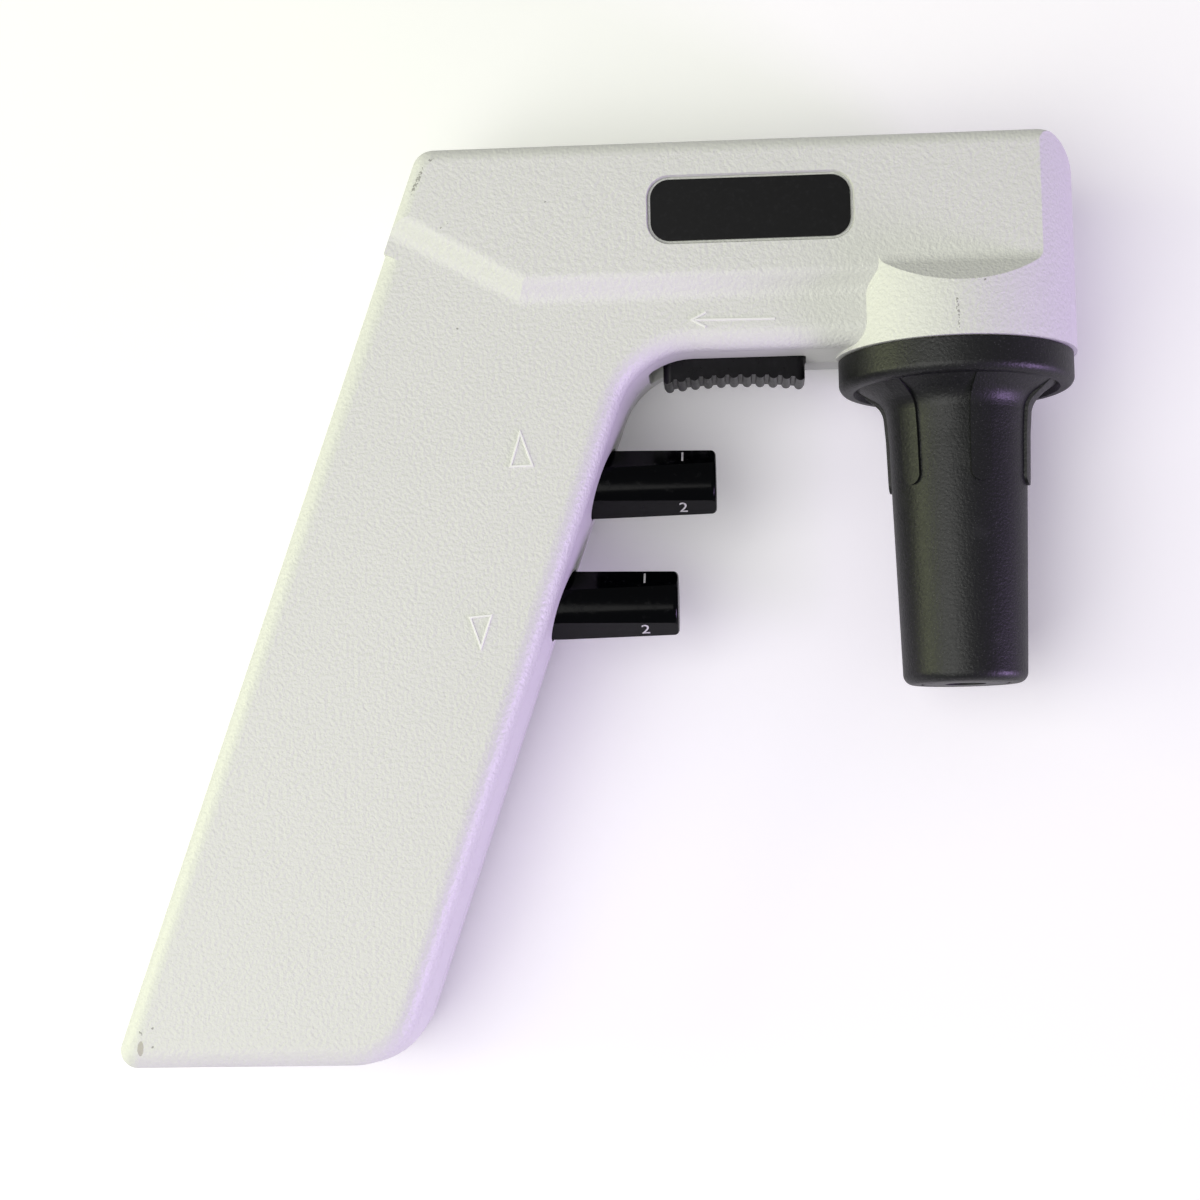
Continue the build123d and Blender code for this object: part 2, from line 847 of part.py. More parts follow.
with BuildPart() as nose_cone:
    with BuildSketch():
        add(nose_profile(0))
    revolve(axis=Axis.Y)
    with BuildSketch() as flange_outline:
        with Locations((0, flange_low)):
            Rectangle(flange_radius, flange_wall, align=(Align.MIN, Align.MIN))
            with Locations((0, 0)):
                Rectangle(flange_radius - rim_width, dish_depth, align=(Align.MIN, Align.MIN), mode=Mode.SUBTRACT)
        fillet(flange_outline.vertices().sort_by_distance((flange_radius, flange_low))[0], flange_edge)
    revolve(axis=Axis.Y)
    with BuildSketch(level(flange_top)):
        Circle(spigot_radius)
    extrude(amount=spigot_length)
    add(nose_ribs.part)
    with BuildSketch():
        with BuildLine():
            Polyline(
                (0, -plan_spare),
                (mouth_radius, -plan_spare),
                (mouth_radius, mouth_lip),
                (nose_tip_radius - nose_wall, mouth_lip),
                (nose_root_radius - nose_wall, nose_root_y),
                (nose_root_radius - nose_wall, filter_floor - filter_step),
                (filter_space, filter_floor),
                (filter_space, spigot_top + plan_spare),
                (0, spigot_top + plan_spare),
                close=True,
            )
        make_face()
    revolve(axis=Axis.Y, mode=Mode.SUBTRACT)
nose_cone.part.label = "nose_cone"

with BuildPart() as pipette_holder:
    with BuildSketch():
        with BuildLine():
            Polyline(
                (socket_bore, 0),
                (mouth_radius - holder_gap, 0),
                (mouth_radius - holder_gap, mouth_lip + holder_gap),
                (nose_tip_radius - nose_wall - holder_gap, mouth_lip + holder_gap),
                (nose_root_radius - nose_wall - holder_gap, nose_root_y),
                (nose_root_radius - nose_wall - holder_gap, holder_top_y),
                (filter_stem_radius, holder_top_y),
                (filter_stem_radius, holder_top_y - filter_stem),
                (socket_neck, socket_depth + neck_run),
                (socket_bore, socket_depth),
                close=True,
            )
        make_face()
    revolve(axis=Axis.Y)
pipette_holder.part.label = "pipette_holder"

filter_top = filter_y + filter_rim
membrane_radius = filter_radius - membrane_seat
with BuildPart() as filter_shell:
    with BuildSketch():
        with BuildLine():
            Polyline(
                (nozzle_bore, holder_top_y - filter_stem),
                (filter_stem_radius, holder_top_y - filter_stem),
                (filter_stem_radius, filter_y - filter_rim),
                (filter_radius, filter_y - filter_rim),
                (filter_radius, filter_top),
                (filter_stem_radius, filter_top),
                (filter_stem_radius, filter_top + filter_stem),
                (nozzle_bore, filter_top + filter_stem),
                close=True,
            )
        make_face()
        with Locations((nozzle_bore, filter_y)):
            Rectangle(
                membrane_radius - nozzle_bore,
                membrane_room,
                align=(Align.MIN, Align.CENTER),
                mode=Mode.SUBTRACT,
            )
    revolve(axis=Axis.Y)
filter_shell.part.label = "filter_shell"

with BuildPart() as filter_membrane:
    with BuildSketch(level(filter_y - membrane_room / 2)):
        Circle(membrane_radius)
    extrude(amount=membrane_room)
filter_membrane.part.label = "filter_membrane"

ring_floor = underside_y + wall
ring_inner = spigot_radius + mating_gap
with BuildPart() as nose_socket:
    with BuildSketch():
        with BuildLine():
            Polyline(
                (ring_inner, underside_y + ring_skirt_gap),
                (ring_inner + ring_wall, underside_y + ring_skirt_gap),
                (ring_inner + ring_wall, ring_floor),
                (boss_radius - wall - ring_skirt_gap, ring_floor),
                (boss_radius - wall - ring_skirt_gap, ring_floor + ring_flange_height),
                (ring_inner + ring_wall, ring_floor + ring_flange_height),
                (ring_inner + ring_wall - ring_draw, ring_top_y),
                (nozzle_bore, ring_top_y),
                (nozzle_bore, filter_top + filter_stem + ring_skirt_gap),
                (nozzle_wall, filter_top + filter_stem + ring_skirt_gap),
                (nozzle_wall, ring_top_y - ring_roof),
                (ring_inner, ring_top_y - ring_roof),
                close=True,
            )
        make_face()
    revolve(axis=Axis.Y)
    for side in (-1, 1):
        with BuildSketch(level(ring_floor + ring_flange_height)):
            with Locations((0, -side * (socket_flat + boss_radius / 2))):
                Rectangle(3 * boss_radius, boss_radius)
        extrude(amount=ring_top_y - ring_floor, mode=Mode.SUBTRACT)
nose_socket.part.label = "nose_socket"

with BuildPart() as nose_seal:
    with BuildSketch():
        with Locations((ring_inner - nose_seal_radius, ring_top_y - ring_roof - nose_seal_radius)):
            Circle(nose_seal_radius)
    revolve(axis=Axis.Y)
nose_seal.part.label = "nose_seal"

with BuildPart() as air_nozzle:
    with BuildSketch(level(ring_top_y)):
        Circle(nozzle_foot_radius)
        Circle(nozzle_bore, mode=Mode.SUBTRACT)
    extrude(amount=nozzle_base)
    with BuildSketch(level(ring_top_y + nozzle_base)):
        Circle(barb_radius)
        Circle(barb_bore, mode=Mode.SUBTRACT)
    extrude(amount=barb_length)
air_nozzle.part.label = "air_nozzle"
pieces += [nose_cone.part, pipette_holder.part, filter_shell.part, filter_membrane.part]
pieces += [nose_socket.part, nose_seal.part, air_nozzle.part]

# The air pump: a small motor turns a crank that works a rubber diaphragm
crank_x = motor_x - frame_length / 2
with BuildPart() as motor_can:
    with BuildSketch(station(motor_x, motor_y)):
        Circle(motor_radius)
    extrude(amount=motor_length - motor_cap_length)
    fillet(motor_can.edges().filter_by(GeomType.CIRCLE).sort_by(Axis.X)[0], motor_edge)
    with BuildSketch(station(motor_x, motor_y)):
        Circle(shaft_radius + bearing_gap)
    extrude(amount=motor_length, mode=Mode.SUBTRACT)
motor_can.part.label = "motor_can"

with BuildPart() as motor_cap:
    with BuildSketch(station(motor_x + motor_length - motor_cap_length, motor_y)):
        Circle(motor_radius)
    extrude(amount=motor_cap_length)
    with BuildSketch(station(motor_x + motor_length, motor_y)):
        with Locations((-motor_radius / 2, 0), (motor_radius / 2, 0)):
            Rectangle(terminal_thickness, terminal_width)
    extrude(amount=terminal_length)
    with BuildSketch(station(motor_x + motor_length - motor_cap_length, motor_y)):
        Circle(shaft_radius + bearing_gap)
    extrude(amount=motor_cap_length / 2, mode=Mode.SUBTRACT)
motor_cap.part.label = "motor_cap"

with BuildPart() as motor_shaft:
    with BuildSketch(station(crank_x + disc_half, motor_y)):
        Circle(shaft_radius)
    extrude(amount=motor_x + motor_length - motor_cap_length - crank_x - disc_half)
motor_shaft.part.label = "motor_shaft"

with BuildPart() as crank:
    with BuildSketch(station(crank_x + disc_half + disc_thickness, motor_y)):
        Circle(crank_disc_radius)
        Circle(shaft_radius, mode=Mode.SUBTRACT)
    extrude(amount=-disc_thickness)
    with BuildSketch(station(crank_x + disc_half, motor_y)):
        Circle(crank_disc_radius)
    extrude(amount=-disc_thickness)
    with BuildSketch(station(crank_x + disc_half - disc_thickness, motor_y + crank_throw)):
        Circle(crank_pin_radius)
    extrude(amount=-rod_thickness - 2 * running_gap)
crank.part.label = "crank"

rod_eye = crank_pin_radius + 2 * crank_throw + running_gap
rod_front = crank_x + disc_half - disc_thickness - running_gap
rod_line = rod_front - rod_thickness / 2


def pump_level(y):
    """A plane square to the connecting rod's stroke."""
    return Plane(origin=(rod_line, y, 0), x_dir=(1, 0, 0), z_dir=(0, 1, 0))


with BuildPart() as connecting_rod:
    with BuildSketch(station(rod_front, motor_y)):
        Circle(rod_eye + rod_wall)
        with Locations(((diaphragm_y + diaphragm_thickness - motor_y) / 2, 0)):
            Rectangle(motor_y - diaphragm_y - diaphragm_thickness, rod_width)
        Circle(rod_eye, mode=Mode.SUBTRACT)
    extrude(amount=-rod_thickness)
    with BuildSketch(pump_level(diaphragm_y + diaphragm_thickness)):
        Circle(rod_foot_radius)
    extrude(amount=rod_foot)
connecting_rod.part.label = "connecting_rod"

with BuildPart() as diaphragm:
    with BuildSketch(pump_level(diaphragm_y)):
        Circle(diaphragm_radius)
    extrude(amount=diaphragm_thickness)
diaphragm.part.label = "diaphragm"

with BuildPart() as pump_frame:
    with BuildSketch(pump_level(diaphragm_y)):
        RectangleRounded(frame_length - 2 * running_gap, 2 * frame_half, frame_corner)
        Circle(diaphragm_radius, mode=Mode.SUBTRACT)
    extrude(amount=frame_floor)
    with BuildSketch(station(motor_x, motor_y)):
        with Locations(((diaphragm_y + frame_top) / 2 - motor_y, 0)):
            Rectangle(frame_top - diaphragm_y, 2 * frame_half)
        Circle(shaft_radius + 2 * running_gap, mode=Mode.SUBTRACT)
    extrude(amount=-frame_wall)
pump_frame.part.label = "pump_frame"

with BuildPart() as valve_plate:
    with BuildSketch(pump_level(diaphragm_y)):
        RectangleRounded(frame_length - 2 * running_gap, 2 * frame_half, frame_corner)
        with Locations((-port_spacing / 2, 0), (port_spacing / 2, 0)):
            Circle(nozzle_bore, mode=Mode.SUBTRACT)
    extrude(amount=-plate_thickness)
valve_plate.part.label = "valve_plate"

head_top = diaphragm_y - plate_thickness
head_low = head_top - head_height
with BuildPart() as pump_head:
    with BuildSketch(pump_level(head_top)):
        RectangleRounded(frame_length - 2 * running_gap, 2 * frame_half, frame_corner)
    extrude(amount=-head_height)
    with BuildSketch(pump_level(head_top)):
        with Locations((-port_spacing / 2, 0), (port_spacing / 2, 0)):
            Rectangle(port_spacing - frame_wall, 2 * (frame_half - 2 * frame_wall))
    extrude(amount=-head_height / 2, mode=Mode.SUBTRACT)
    for height in tube_lines[1:]:
        with BuildSketch(pump_level(head_low)):
            with Locations((-port_spacing / 2, -height)):
                Circle(barb_radius)
        extrude(amount=-barb_length)
        with BuildSketch(pump_level(head_low - barb_length)):
            with Locations((-port_spacing / 2, -height)):
                Circle(barb_bore)
        extrude(amount=barb_length + head_height / 2, mode=Mode.SUBTRACT)
pump_head.part.label = "pump_head"

with BuildPart() as reed_valves:
    with BuildSketch(pump_level(head_top)):
        with Locations((-port_spacing / 2, 0), (port_spacing / 2, 0)):
            SlotOverall(reed_length, reed_width, rotation=90)
    extrude(amount=-reed_thickness)
reed_valves.part.label = "reed_valves"
pieces += [motor_can.part, motor_cap.part, motor_shaft.part, crank.part, connecting_rod.part]
pieces += [diaphragm.part, pump_frame.part, valve_plate.part, pump_head.part, reed_valves.part]

# Three soft tubes: from the nose, and from the pump's two ports, to the valve block
def air_tube(name, points):
    """A tube along points, pushed over a barb at each end."""
    with BuildPart() as tube:
        with BuildLine() as path:
            FilletPolyline(*points, radius=tube_bend)
        with BuildSketch(Plane(origin=path.line @ 0, z_dir=path.line % 0)):
            Circle(tube_radius)
            Circle(barb_radius + barb_fit, mode=Mode.SUBTRACT)
        sweep()
    tube.part.label = name
    return tube.part


valve_end_y = block_top + barb_stub + tube_end_gap
pump_port_x = rod_line - port_spacing / 2
nose_line = [
    (0, ring_top_y + nozzle_base + tube_end_gap, 0),
    (0, nose_tube_y[0], 0),
    (nose_tube_x[0], nose_tube_y[0], 0),
    (nose_tube_x[1], nose_tube_y[1], nose_tube_z),
    (nose_tube_x[2], nose_tube_y[1], nose_tube_z),
    (port_x, tube_turn_y + tube_bend, tube_lines[0]),
    (port_x, valve_end_y, tube_lines[0]),
]
pieces.append(air_tube("nose_tube", nose_line))
for name, height in zip(("suction_tube", "pressure_tube"), tube_lines[1:]):
    pump_line = [
        (pump_port_x, head_low - tube_end_gap, height),
        (pump_port_x, tube_turn_y, height),
        (port_x, tube_turn_y, height),
        (port_x, valve_end_y, height),
    ]
    pieces.append(air_tube(name, pump_line))

# Two cells in the lower grip, the straps that join them, the jack below and the board above
for name, across in (("rear_cell", -cell_spacing / 2), ("front_cell", cell_spacing / 2)):
    with BuildPart() as cell:
        with BuildSketch(cell_seat(across)):
            Circle(cell_radius)
        extrude(amount=cell_length)
        ends = cell.edges().filter_by(GeomType.CIRCLE)
        fillet(ends, cell_edge)
        with BuildSketch(cell_seat(across)):
            Circle(cell_button_radius)
        extrude(amount=-cell_button_height)
    cell.part.label = name
    pieces.append(cell.part)

with BuildPart() as cell_strap:
    with BuildSketch(cell_seat(0).offset(-cell_button_height - strap_thickness)):
        SlotOverall(cell_spacing + 2 * cell_button_radius, strap_width)
    extrude(amount=strap_thickness)
cell_strap.part.label = "cell_strap"

jack_top = bottom_y + jack_length
with BuildPart() as charge_jack:
    with BuildSketch(level(bottom_y)):
        with Locations((jack_x, 0)):
            Circle(jack_radius - thread_gap)
    extrude(amount=wall + draft_rise)
    with BuildSketch(level(bottom_y + wall + draft_rise)):
        with Locations((jack_x, 0)):
            Rectangle(2 * jack_body, 2 * jack_body)
    extrude(amount=jack_length - wall - draft_rise)
    with BuildSketch(level(bottom_y)):
        with Locations((jack_x, 0)):
            Circle(jack_bore)
    extrude(amount=jack_bore_depth, mode=Mode.SUBTRACT)
charge_jack.part.label = "charge_jack"

board_plane = Plane(origin=(*board_centre, board_z), x_dir=grip_plane.x_dir, z_dir=(0, 0, 1))
with BuildPart() as control_board:
    with BuildSketch(board_plane):
        Rectangle(board_length, board_width)
    extrude(amount=board_thickness)
control_board.part.label = "control_board"

with BuildPart() as board_parts:
    with BuildSketch(board_plane.offset(board_thickness)):
        for along, across, length, width in chip_places:
            with Locations((along, across)):
                Rectangle(length, width)
    extrude(amount=chip_height)
board_parts.part.label = "board_parts"
pieces += [cell_strap.part, charge_jack.part, control_board.part, board_parts.part]

for piece in pieces:
    export_step(piece, f"parts/{piece.label}.step")
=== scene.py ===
from math import cos, pi, radians, sin, tan

import bmesh
import bpy
from mathutils import Euler, Matrix, Vector


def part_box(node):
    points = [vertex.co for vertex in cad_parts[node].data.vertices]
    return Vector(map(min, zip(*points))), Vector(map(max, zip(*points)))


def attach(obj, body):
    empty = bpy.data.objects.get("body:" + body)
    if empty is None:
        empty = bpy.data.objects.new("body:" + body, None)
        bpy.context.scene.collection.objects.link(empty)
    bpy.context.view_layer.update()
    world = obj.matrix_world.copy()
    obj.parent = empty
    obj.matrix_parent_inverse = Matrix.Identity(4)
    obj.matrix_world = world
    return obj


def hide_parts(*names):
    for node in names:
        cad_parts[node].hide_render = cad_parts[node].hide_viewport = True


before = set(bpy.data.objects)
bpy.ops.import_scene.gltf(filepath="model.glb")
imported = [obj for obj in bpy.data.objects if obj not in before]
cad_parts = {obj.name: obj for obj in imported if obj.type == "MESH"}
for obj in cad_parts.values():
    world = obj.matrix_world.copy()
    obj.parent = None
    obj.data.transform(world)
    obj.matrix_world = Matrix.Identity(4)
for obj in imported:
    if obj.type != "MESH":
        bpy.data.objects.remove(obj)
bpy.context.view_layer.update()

# The camera looks down on the controller as it lies on its side on a white bench. It stands
# 44 cm above the bench with a moderate lens, a little towards the viewer's right hand.
MM = 0.001
lens_pixels = 2300.0
image_pixels = 1200.0
camera_angles = (-5.3346, -3.4593, 1.3676)
camera_turn = Euler([radians(angle) for angle in camera_angles], "XYZ").to_matrix()
camera_shift = Vector((69.477, -15.951, -436.744)) * MM
camera_data = bpy.data.cameras.new("studio_camera")
camera_data.sensor_width = 36.0
camera_data.lens = camera_data.sensor_width * lens_pixels / image_pixels
camera_data.clip_start = 10.0 * MM
camera = bpy.data.objects.new("studio_camera", camera_data)
bpy.context.scene.collection.objects.link(camera)
camera_place = camera_turn.transposed() @ -camera_shift
camera.matrix_world = Matrix.Translation(camera_place) @ camera_turn.transposed().to_4x4()
bpy.context.scene.camera = camera

# The bench is a plain white sheet. It tilts a little, because the controller rests on its wide
# nose boss at one end and on the thinner grip at the other.
view_settings = bpy.context.scene.view_settings
view_settings.view_transform = "Standard"


class Value:
    """A number or colour flowing through a material; arithmetic on it adds Math nodes."""

    def __init__(self, finish, socket):
        self.finish = finish
        self.socket = socket

    def math(self, operation, *others):
        inputs = dict(enumerate((self, *others)))
        return self.finish.node("ShaderNodeMath", {"operation": operation}, inputs)

    def __add__(self, other):
        return self.math("ADD", other)

    def __radd__(self, other):
        return self.math("ADD", other)

    def __sub__(self, other):
        return self.math("SUBTRACT", other)

    def __rsub__(self, other):
        return (self * -1.0) + other

    def __mul__(self, other):
        return self.math("MULTIPLY", other)

    def __rmul__(self, other):
        return self.math("MULTIPLY", other)

    def size(self):
        return self.math("ABSOLUTE")

    def ramp(self, low, high):
        """0 below low, 1 above high, smooth between them."""
        settings = {"interpolation_type": "SMOOTHSTEP"}
        return self.finish.node("ShaderNodeMapRange", settings, {"Value": self, 1: low, 2: high})


class Finish:
    """One material: its nodes come from one method, and its constants sit on the shader."""

    def __init__(self, name, **constants):
        self.name = name
        self.material = bpy.data.materials.new(name)
        self.material.use_nodes = True
        self.tree = self.material.node_tree
        self.shader = self.tree.nodes["Principled BSDF"]
        for socket, value in constants.items():
            self.set(socket.replace("_", " "), value)

    def node(self, kind, settings, inputs, output=0):
        """A node with its settings made first, then its sockets' values or links."""
        made = self.tree.nodes.new(kind)
        for name, value in settings.items():
            setattr(made, name, value)
        for name, value in inputs.items():
            if isinstance(value, Value):
                self.tree.links.new(value.socket, made.inputs[name])
            else:
                made.inputs[name].default_value = value
        return Value(self, made.outputs[output])

    def set(self, socket, value):
        """A constant or a link on the shader's own socket."""
        if isinstance(value, Value):
            self.tree.links.new(value.socket, self.shader.inputs[socket])
        else:
            self.shader.inputs[socket].default_value = value

    def place(self):
        return self.node("ShaderNodeTexCoord", {}, {}, "Object")

    def along(self, axis):
        """The X, Y or Z of a point of the piece, in metres."""
        return self.node("ShaderNodeSeparateXYZ", {}, {0: self.place()}, axis)

    def noise(self, scale, detail=2.0, rough=0.5):
        inputs = {"Vector": self.place(), "Scale": scale, "Detail": detail, "Roughness": rough}
        return self.node("ShaderNodeTexNoise", {}, inputs)

    def blend(self, factor, low, high):
        """low where factor is 0, high where it is 1, as colours."""
        return self.node("ShaderNodeMix", {"data_type": "RGBA"}, {0: factor, 6: low, 7: high}, 2)

    def bump(self, height, distance, strength=1.0):
        inputs = {"Height": height, "Distance": distance, "Strength": strength}
        return self.node("ShaderNodeBump", {}, inputs)


bench = Finish("bench_white", Roughness=0.9, Specular_IOR_Level=0.1)
bench_paint = (0.82, 0.82, 0.82, 1.0)
bench_seen = (0.985, 0.985, 0.98, 1.0)
no_glow = (0.0, 0.0, 0.0, 1.0)
full_glow = (1.0, 1.0, 1.0, 1.0)
seen = bench.node("ShaderNodeLightPath", {}, {}, "Is Camera Ray")
bench.set("Base Color", bench.blend(seen, bench_paint, bench_seen))
bench.set("Emission Color", bench.blend(seen, no_glow, full_glow))
bench.set("Emission Strength", 0.09)

# The bench touches the lowest point of the boss and the far lower corner of the grip.
grip_half = 15.0
bench_reach = 4.0
bench_gap = 0.2
boss_foot = Vector((0.0, 75.0 * MM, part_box("left_shell")[0].z))
grip_foot = Vector((-158.0 * MM, -69.0 * MM, -grip_half * MM))
tilt_run = (grip_foot - boss_foot).length
tilt_rise = grip_foot.z - boss_foot.z
across = Vector((grip_foot.x - boss_foot.x, grip_foot.y - boss_foot.y, 0.0)).normalized()
bench_normal = Vector((-across.x * tilt_rise, -across.y * tilt_rise, tilt_run)).normalized()
bench_mesh = bmesh.new()
bmesh.ops.create_grid(bench_mesh, x_segments=1, y_segments=1, size=bench_reach)
turn = Vector((0, 0, 1)).rotation_difference(bench_normal).to_matrix()
bmesh.ops.rotate(bench_mesh, verts=bench_mesh.verts, cent=(0, 0, 0), matrix=turn)
bench_place = boss_foot - bench_normal * bench_gap * MM
bmesh.ops.translate(bench_mesh, verts=bench_mesh.verts, vec=bench_place)
bench_data = bpy.data.meshes.new("bench")
bench_mesh.to_mesh(bench_data)
bench_mesh.free()
bench_object = bpy.data.objects.new("bench", bench_data)
bpy.context.scene.collection.objects.link(bench_object)
bench_data.materials.append(bench.material)

# Soft studio light: a white sky, one wide lamp above and to the left, a pale green one low on
# the left and a lilac one low on the right, which tint the edges that face them.
world = bpy.data.worlds.new("studio")
bpy.context.scene.world = world
world.use_nodes = True
world_shader = world.node_tree.nodes["Background"]
world_shader.inputs["Color"].default_value = (1.0, 1.0, 1.0, 1.0)
world_shader.inputs["Strength"].default_value = 0.33
controller_middle = Vector((-0.06, 0.02, 0.0))


def studio_lamp(name, place, width, power, colour):
    """A square soft lamp at place, facing the controller's middle, in metres and watts."""
    data = bpy.data.lights.new(name, "AREA")
    data.shape = "SQUARE"
    data.size = width
    data.energy = power
    data.color = colour
    lamp = bpy.data.objects.new(name, data)
    bpy.context.scene.collection.objects.link(lamp)
    aim = (controller_middle - Vector(place)).to_track_quat("-Z", "Y")
    lamp.matrix_world = Matrix.Translation(place) @ aim.to_matrix().to_4x4()


warm_white = (1.0, 1.0, 0.97)
pale_green = (0.92, 1.0, 0.55)
lilac = (0.69, 0.47, 1.0)
studio_lamp("key_lamp", place=(-0.50, -0.18, 0.88), width=0.9, power=7.3, colour=warm_white)
studio_lamp("left_lamp", place=(-0.95, 0.10, 0.26), width=0.45, power=3.2, colour=pale_green)
studio_lamp("right_lamp", place=(0.90, -0.45, 0.16), width=0.3, power=8.2, colour=lilac)

# The two housing covers are moulded in a pale warm grey plastic. Their outer faces carry a
# spark-eroded texture; the bands beside the parting line, along the fingers' side, are smooth.
# Use has left dark scuffs on the top and bottom corners.
housing = Finish("housing_plastic")
lean = radians(19.0)
finger_line = -80.93 * MM
band_depth = 2.0 * MM
band_half = 9.9 * MM
band_top = 70.0 * MM
band_fade = 0.6 * MM
band_edge = 0.2 * MM
face_x = housing.along("X")
face_y = housing.along("Y")
face_z = housing.along("Z")
from_finger_side = (face_x - face_y * tan(lean)) * -cos(lean) + finger_line * cos(lean)
near_finger_side = 1.0 - from_finger_side.ramp(band_depth, band_depth + band_fade)
under_barrel = 1.0 - face_y.ramp(band_top, band_top + band_fade)
along_fingers = near_finger_side * under_barrel
near_parting = 1.0 - face_z.size().ramp(band_half, band_half + band_edge)
smooth_band = along_fingers * near_parting
grain = housing.noise(1400.0, detail=1.5, rough=0.5)
pits = housing.noise(3400.0, detail=1.0)
cloud = housing.noise(30.0, detail=2.0)
ragged = housing.noise(2200.0, detail=2.0, rough=0.6)


def smear(x, y, length, width, angle, density=0.6):
    """1 on the grains of an uneven mark of that size on the viewer's side, in mm, 0 off them."""
    turned = radians(angle)
    off_x = face_x - x * MM
    off_y = face_y - y * MM
    run = (off_x * cos(turned) + off_y * sin(turned)) * (2.0 / (length * MM))
    rise = (off_y * cos(turned) - off_x * sin(turned)) * (2.0 / (width * MM))
    inside = 1.0 - (run * run + rise * rise).ramp(0.2, 1.2)
    return (inside * density + ragged).ramp(0.98, 1.08) * face_z.ramp(0.0, 2.0 * MM)


# Each scuff is written as x, y, length, width, angle and, where it isn't the usual, density.
scuff_places = (
    (-101.4, 96.4, 8.0, 1.2, 65.6, 0.55),
    (-98.7, 100.5, 1.8, 0.9, 30.0, 0.55),
    (-77.2, 91.5, 0.6, 0.4, 20.0),
    (-97.0, 87.2, 0.7, 0.5, 70.0),
    (-95.8, 87.9, 0.6, 0.5, 0.0),
    (-94.4, 68.3, 0.6, 0.5, 0.0),
    (-154.9, -62.0, 2.4, 1.2, 70.0, 0.5),
    (-152.7, -61.3, 0.7, 0.6, 0.0),
    (-152.7, -64.7, 0.8, 0.6, 30.0),
    (-1.4, 67.0, 9.0, 0.9, 92.0, 0.5),
    (3.7, 72.8, 1.2, 0.6, 30.0),
)
scuffs = smear(*scuff_places[0])
for scuff in scuff_places[1:]:
    scuffs = scuffs.math("MAXIMUM", smear(*scuff))
worn_corner = smear(-155.0, -65.0, 1.5, 3.6, -4.0, 0.8)
pale = (0.700, 0.705, 0.672, 1.0)
warm = (0.672, 0.678, 0.648, 1.0)
# This darker grey is painted shade for the hollows of the grain.
hollow_shade_grey = (0.60, 0.60, 0.57, 1.0)
# This pale grey is a painted highlight for the glints of the housing's grain.
painted_glint_grey = (0.84, 0.84, 0.82, 1.0)
worn = (0.30, 0.27, 0.20, 1.0)
soil = (0.17, 0.16, 0.15, 1.0)
texture_rise = 0.19 * MM
tone = housing.blend(cloud, pale, warm)
# Sparse pale specks on the textured faces are painted highlights: glints of light on the grain.
painted_glint_specks = pits.ramp(0.66, 0.72)
grain_tops = grain.ramp(0.30, 0.62)
textured = 1.0 - smooth_band
dips = 1.0 - grain_tops
# Where the grain dips, the tone is darkened: painted shade in the texture's hollows.
tone = housing.blend(dips * textured * 0.22, tone, hollow_shade_grey)
tone = housing.blend(painted_glint_specks * textured * 0.35, tone, painted_glint_grey)
tone = housing.blend(worn_corner * 0.6, tone, worn)
housing.set("Base Color", housing.blend(scuffs * 0.7, tone, soil))
housing.set("Roughness", 0.36 + grain * 0.16)
housing.set("Normal", housing.bump((grain + pits * 0.15) * textured, texture_rise))


def dress(finish, *nodes):
    """Gives CAD nodes their finish."""
    for node in nodes:
        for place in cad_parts[node].material_slots:
            place.material = finish.material


dress(housing, "right_shell", "left_shell")

# An arrow and two triangles are moulded on the viewer's cover as thin raised lines, coloured
# paler than the face as a painted highlight for their lit edges. The arrow points along the
# barrel, the triangles beside the buttons.
line_width = 0.42
line_bevel = 0.07
line_rise = 0.2
line_sink = 0.05
sharp = 0.5
merge_distance = 0.0001


def raised_line(shape, points, closed):
    """A flat line of even width through points above the grip's face, mitred at its corners."""
    spots = [Vector(point) for point in points]
    count = len(spots)
    left, right = [], []
    for index, spot in enumerate(spots):
        before = spots[index - 1] if closed or index > 0 else None
        after = spots[(index + 1) % count] if closed or index < count - 1 else None
        come = (spot - before).normalized() if before else (after - spot).normalized()
        leave = (after - spot).normalized() if after else come
        side = Vector((-(come.y + leave.y), come.x + leave.x)).normalized()
        spread = line_width / 2 / side.dot(Vector((-come.y, come.x)))
        for row, way in ((left, 1), (right, -1)):
            corner = spot + side * spread * way
            row.append(shape.verts.new(Vector((corner.x, corner.y, grip_half + line_rise)) * MM))
    for index in range(count if closed else count - 1):
        after = (index + 1) % count
        shape.faces.new((left[index], right[index], right[after], left[after]))


def finished(name, shape, finish, body):
    """A piece made from a mesh in the row frame, with its finish, riding on that body."""
    bmesh.ops.remove_doubles(shape, verts=shape.verts, dist=merge_distance * MM)
    bmesh.ops.recalc_face_normals(shape, faces=shape.faces)
    data = bpy.data.meshes.new(name)
    shape.to_mesh(data)
    shape.free()
    piece = bpy.data.objects.new(name, data)
    bpy.context.scene.collection.objects.link(piece)
    data.materials.append(finish.material)
    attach(piece, body)
    return piece


marks = (
    (((-84.7, 41.8), (-80.6, 41.9), (-82.8, 48.1)), True),
    (((-92.7, 13.6), (-88.7, 13.9), (-90.7, 7.9)), True),
    (((-47.5, 70.0), (-50.2, 68.6), (-47.6, 67.2)), False),
    (((-49.6, 68.6), (-34.6, 68.4)), False),
)
mark_shape = bmesh.new()
for mark_points, mark_closed in marks:
    raised_line(mark_shape, mark_points, mark_closed)
top_faces = list(mark_shape.faces)
grown = bmesh.ops.extrude_face_region(mark_shape, geom=top_faces, use_keep_orig=True)
sunk = [item for item in grown["geom"] if isinstance(item, bmesh.types.BMVert)]
bmesh.ops.translate(mark_shape, verts=sunk, vec=(0, 0, -(line_rise + line_sink) * MM))
